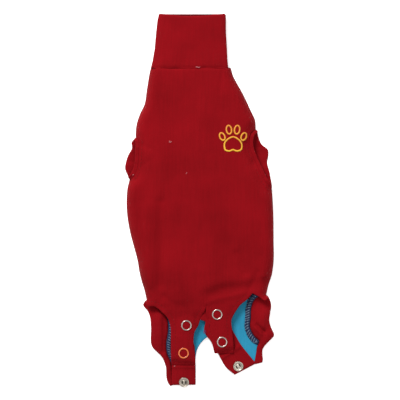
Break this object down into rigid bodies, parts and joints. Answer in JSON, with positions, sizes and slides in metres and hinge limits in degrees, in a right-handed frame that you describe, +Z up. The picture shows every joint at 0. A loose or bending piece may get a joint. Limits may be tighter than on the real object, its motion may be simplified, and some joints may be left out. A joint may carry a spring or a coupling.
{
  "type": "pet medical shirt",
  "caption": "Knitted medical shirt for a cat or small dog, lying flat: tall collar, leg holes with knit bands, rear straps with ring snaps over folded tabs.",
  "frame": {"origin": "centre of the shirt's bounding box, on the surface that its belly panel lies on", "axes": "+Y towards the neck, +Z up through the back panel, +X towards the right edge of the shirt as seen from above with the neck away from the viewer"},
  "size_m": [0.1491, 0.3739, 0.0124],
  "materials": {
    "red_knit": "fine matte cotton knit",
    "turquoise_knit": "fine matte cotton knit",
    "nickel": "polished nickel plate",
    "orange_enamel": "gloss enamel"
  },
  "bodies": {
    "root": {"collar": "red_knit", "back_panel": "red_knit", "belly_panel": "red_knit", "belly_lining": "turquoise_knit", "front_leg_band_left": "red_knit", "front_leg_band_right": "red_knit", "hind_leg_band_left": "red_knit", "hind_leg_band_right": "red_knit", "snap_ring_left_upper": "nickel", "snap_ring_left_lower": "orange_enamel", "snap_ring_right_upper": "nickel", "snap_ring_right_lower": "nickel", "snap_stud_left_upper": "nickel", "snap_stud_left_lower": "nickel", "snap_stud_right_upper": "nickel", "snap_stud_right_lower": "nickel", "snap_socket_left_fastened": "nickel", "snap_socket_left_open": "nickel", "snap_socket_right_fastened": "nickel", "snap_socket_right_open": "nickel"}
  },
  "joints": []
}
